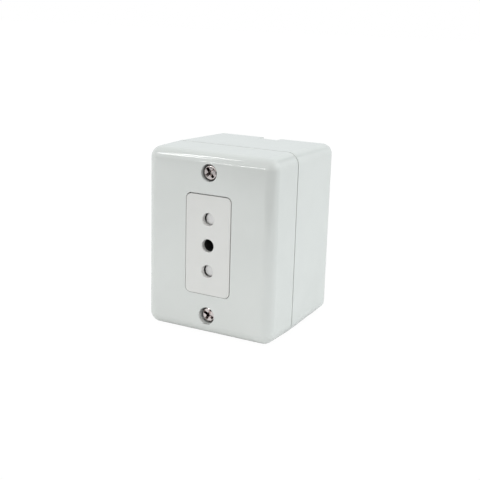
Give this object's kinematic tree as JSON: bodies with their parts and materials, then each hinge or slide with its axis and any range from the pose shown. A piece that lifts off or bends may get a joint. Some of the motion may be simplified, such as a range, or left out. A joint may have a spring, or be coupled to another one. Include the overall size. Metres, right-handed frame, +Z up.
{
  "type": "single wall socket",
  "caption": "Surface wall socket: drafted rear box, screwed rounded cover and a shuttered insert for a plug with round pins in line.",
  "frame": {"origin": "centre of the rear face that lies on the wall", "axes": "+Y into the wall, +Z up, +X to the right seen from the room; the front faces -Y"},
  "size_m": [0.052, 0.0485, 0.067],
  "materials": {
    "housing": "glossy moulded, light grey white",
    "insert_face": "satin gloss moulded, white",
    "insert_base": "matt moulded, black grey",
    "shutter": "moulded, white",
    "plated_screw": "bright nickel plate",
    "steel": "zinc plate",
    "spring_steel": "drawn wire",
    "brass": "turned and pressed",
    "bronze": "rolled strip"
  },
  "bodies": {
    "housing": {"back_box": "housing", "front_cover": "housing", "socket_face": "insert_face", "socket_base": "insert_base", "socket_rear_cover": "insert_base", "shutter_spring_upper": "spring_steel", "shutter_spring_lower": "spring_steel", "cover_screw_top": "plated_screw", "cover_screw_bottom": "plated_screw", "screw_bush_top": "brass", "screw_bush_bottom": "brass", "base_screw_top": "steel", "base_screw_bottom": "steel", "contact_live": "bronze", "terminal_live": "brass", "clamp_plate_live": "steel", "terminal_screw_live": "steel", "contact_earth": "bronze", "terminal_earth": "brass", "clamp_plate_earth": "steel", "terminal_screw_earth": "steel", "contact_neutral": "bronze", "terminal_neutral": "brass", "clamp_plate_neutral": "steel", "terminal_screw_neutral": "steel"},
    "shutter": {"shutter": "shutter"}
  },
  "joints": [
    {"name": "shutter_slide", "type": "slide", "parent": "housing", "child": "shutter", "axis": [0.7071, 0.7071, 0], "range_m": [0, 0.00735], "stiffness_N_per_m": 150, "springref_m": -0.003, "deforming": ["shutter_spring_upper", "shutter_spring_lower"]}
  ]
}
